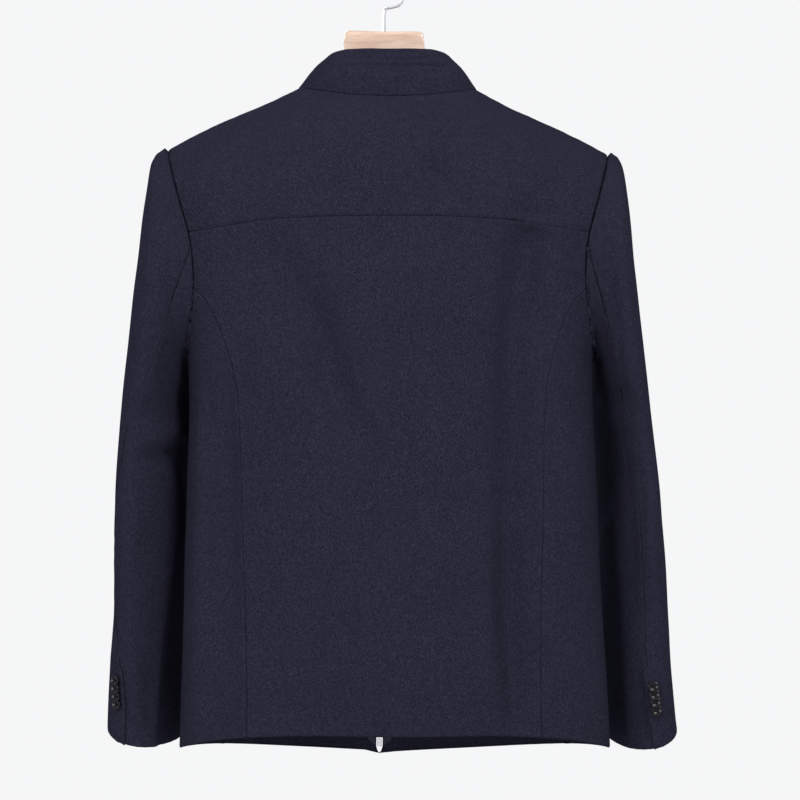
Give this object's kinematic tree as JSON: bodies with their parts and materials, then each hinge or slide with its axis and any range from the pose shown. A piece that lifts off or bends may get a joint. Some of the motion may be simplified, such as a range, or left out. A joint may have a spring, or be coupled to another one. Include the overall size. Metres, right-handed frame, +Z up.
{
  "type": "wool stand collar jacket on a wooden hanger",
  "caption": "Short navy wool jacket with a stand collar, curved back yoke, princess seams, zip front and vented cuffs, hanging on a wooden hanger with a chrome hook",
  "frame": {"origin": "the point inside the hook's arch where the rail carries it", "axes": "+Z up, the jacket's front faces -Y and its back +Y, the wearer's left is at +X"},
  "size_m": [0.6254, 0.1884, 0.8717],
  "materials": {
    "navy_wool": "matte melange wool",
    "zip_tape": "matte woven tape",
    "zip_metal": "satin",
    "hook_chrome": "polished",
    "hanger_wood": "clear lacquer",
    "buttons": "gloss"
  },
  "bodies": {
    "jacket": {"back_yoke": "navy_wool", "back_panel": "navy_wool", "side_panel_left": "navy_wool", "side_panel_right": "navy_wool", "front_left": "navy_wool", "front_right": "navy_wool", "collar": "navy_wool", "sleeve_top_left": "navy_wool", "sleeve_under_left": "navy_wool", "sleeve_top_right": "navy_wool", "sleeve_under_right": "navy_wool", "cuff_button_left_1": "buttons", "cuff_button_left_2": "buttons", "cuff_button_left_3": "buttons", "cuff_button_left_4": "buttons", "cuff_button_right_1": "buttons", "cuff_button_right_2": "buttons", "cuff_button_right_3": "buttons", "cuff_button_right_4": "buttons", "zip_tape_left": "zip_tape", "zip_tape_right": "zip_tape", "zip_chain": "zip_metal", "zip_box": "zip_metal", "zip_slider": "zip_metal", "hanger_hook": "hook_chrome", "hanger_wood": "hanger_wood"},
    "pull": {"zip_pull": "zip_metal"}
  },
  "joints": [
    {"name": "pull_swing", "type": "hinge", "parent": "jacket", "child": "pull", "pos_m": [-0.006, -0.07223, -0.17821], "axis": [-1, 0, 0], "range_deg": [0, 150]}
  ]
}
